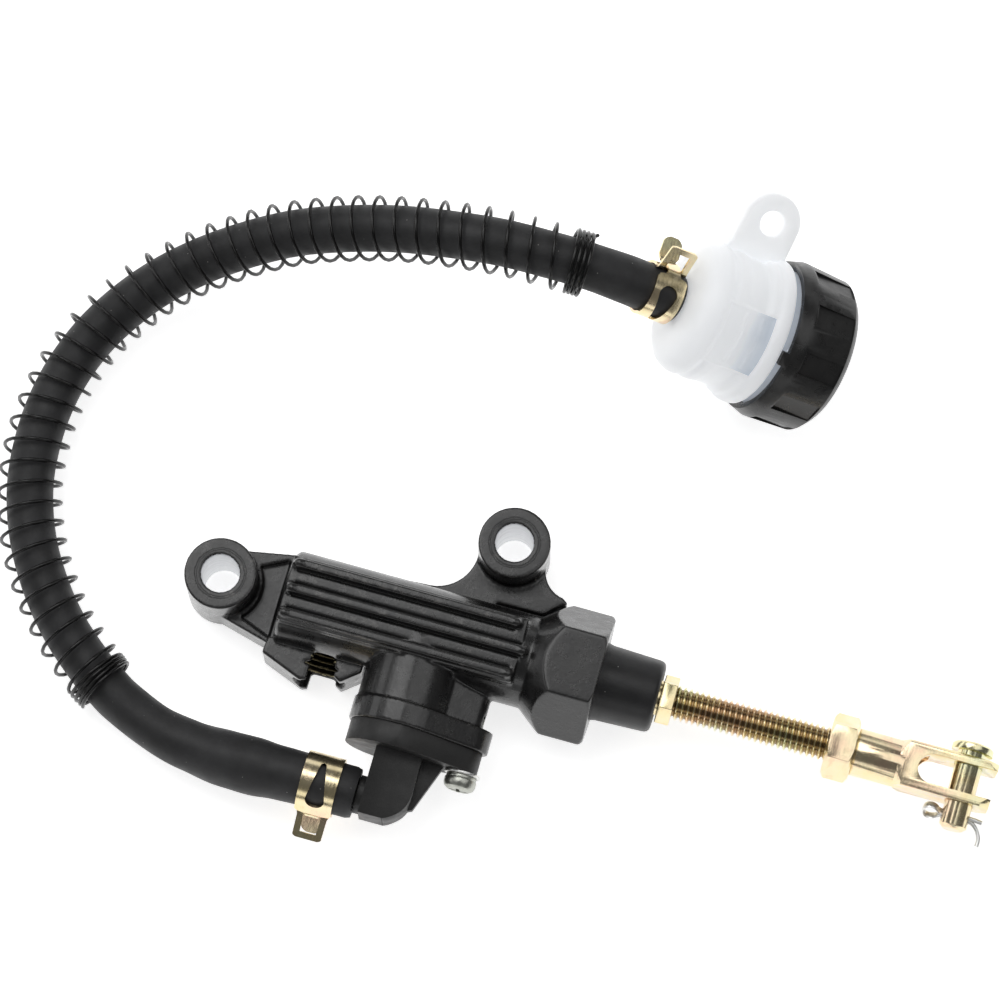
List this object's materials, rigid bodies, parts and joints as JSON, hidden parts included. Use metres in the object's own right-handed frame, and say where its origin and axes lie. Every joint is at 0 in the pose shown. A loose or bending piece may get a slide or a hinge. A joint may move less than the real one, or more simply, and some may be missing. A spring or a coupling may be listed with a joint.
{
  "type": "brake master cylinder",
  "caption": "Rear brake master cylinder with push rod and clevis, spring-guarded supply hose and a small remote fluid reservoir.",
  "frame": {"origin": "centre of the rear mounting hole at the casting's back face, which is the surface that the part lies on", "axes": "+X along the bore towards the clevis, +Z along the mounting bolts away from the frame that the part bolts to, +Y towards the second mounting boss"},
  "size_m": [0.1787, 0.1249, 0.0375],
  "materials": {
    "black_paint": "semi-gloss black paint over cast alloy, bores left bare",
    "alloy": "turned, lightly anodised",
    "spring_steel": "drawn wire and hardened strip, oiled",
    "zinc_plate": "plated pressed steel",
    "yellow_zinc": "yellow passivated zinc, pale gold with pink and green casts",
    "bright_zinc": "bright zinc",
    "black_wire": "glossy black coated wire",
    "hose_rubber": "matt black rubber with a little dust",
    "boot_rubber": "matt black moulded rubber",
    "seal_rubber": "smooth black rubber",
    "black_plastic": "fine-grained black nylon",
    "cap_plastic": "satin black plastic",
    "milky_plastic": "translucent milky polythene",
    "white_plastic": "moulded white plastic"
  },
  "bodies": {
    "cylinder_body": {"body_casting": "black_paint", "return_spring": "spring_steel", "spring_seat": "zinc_plate", "stop_washer": "zinc_plate", "circlip": "spring_steel", "dust_boot": "boot_rubber", "inlet_elbow": "black_plastic", "elbow_o_ring": "seal_rubber", "elbow_screw": "bright_zinc", "elbow_spring_washer": "bright_zinc", "elbow_flat_washer": "bright_zinc", "supply_hose": "hose_rubber", "hose_guard_spring": "black_wire", "lower_hose_clamp": "yellow_zinc", "upper_hose_clamp": "yellow_zinc", "reservoir_base": "milky_plastic", "reservoir_bottle": "milky_plastic", "reservoir_tab": "milky_plastic"},
    "piston_assembly": {"piston": "alloy", "primary_cup_seal": "seal_rubber", "secondary_cup_seal": "seal_rubber"},
    "rod": {"push_rod": "yellow_zinc"},
    "nut": {"lock_nut": "yellow_zinc"},
    "fork": {"clevis": "yellow_zinc"},
    "fork_pin": {"clevis_pin": "yellow_zinc", "split_pin": "bright_zinc"},
    "lid_seal": {"reservoir_diaphragm": "seal_rubber", "diaphragm_plate": "white_plastic"},
    "lid": {"reservoir_cap": "cap_plastic"}
  },
  "joints": [
    {"name": "piston_stroke", "type": "slide", "parent": "cylinder_body", "child": "piston_assembly", "axis": [-1, 0, 0], "range_m": [0, 0.007], "stiffness_N_per_m": 800, "springref_m": -0.004, "deforming": ["return_spring", "dust_boot"]},
    {"name": "rod_swivel", "type": "hinge", "parent": "piston_assembly", "child": "rod", "pos_m": [0.057, 0, 0.01], "axis": [0, 0, 1], "range_deg": [-3, 3], "stiffness_Nm_per_rad": 0.05},
    {"name": "nut_turn", "type": "hinge", "parent": "rod", "child": "nut", "pos_m": [0.1088, 0, 0.01], "axis": [1, 0, 0], "continuous": true},
    {"name": "clevis_adjust", "type": "slide", "parent": "rod", "child": "fork", "axis": [1, 0, 0], "range_m": [0, 0.004]},
    {"name": "clevis_pin_turn", "type": "hinge", "parent": "fork", "child": "fork_pin", "pos_m": [0.1303, 0, 0.01], "axis": [0, 1, 0], "continuous": true},
    {"name": "cap_lift", "type": "slide", "parent": "cylinder_body", "child": "lid_seal", "axis": [0.8988, 0, -0.4384], "range_m": [0, 0.0045]},
    {"name": "cap_turn", "type": "hinge", "parent": "lid_seal", "child": "lid", "pos_m": [0.08222, 0.064, 0.01514], "axis": [0.8988, 0, -0.4384], "range_deg": [0, 540]}
  ],
  "couplings": [
    {"joint": "cap_lift", "follows": "cap_turn", "m_per_rad": 0.00047746}
  ]
}
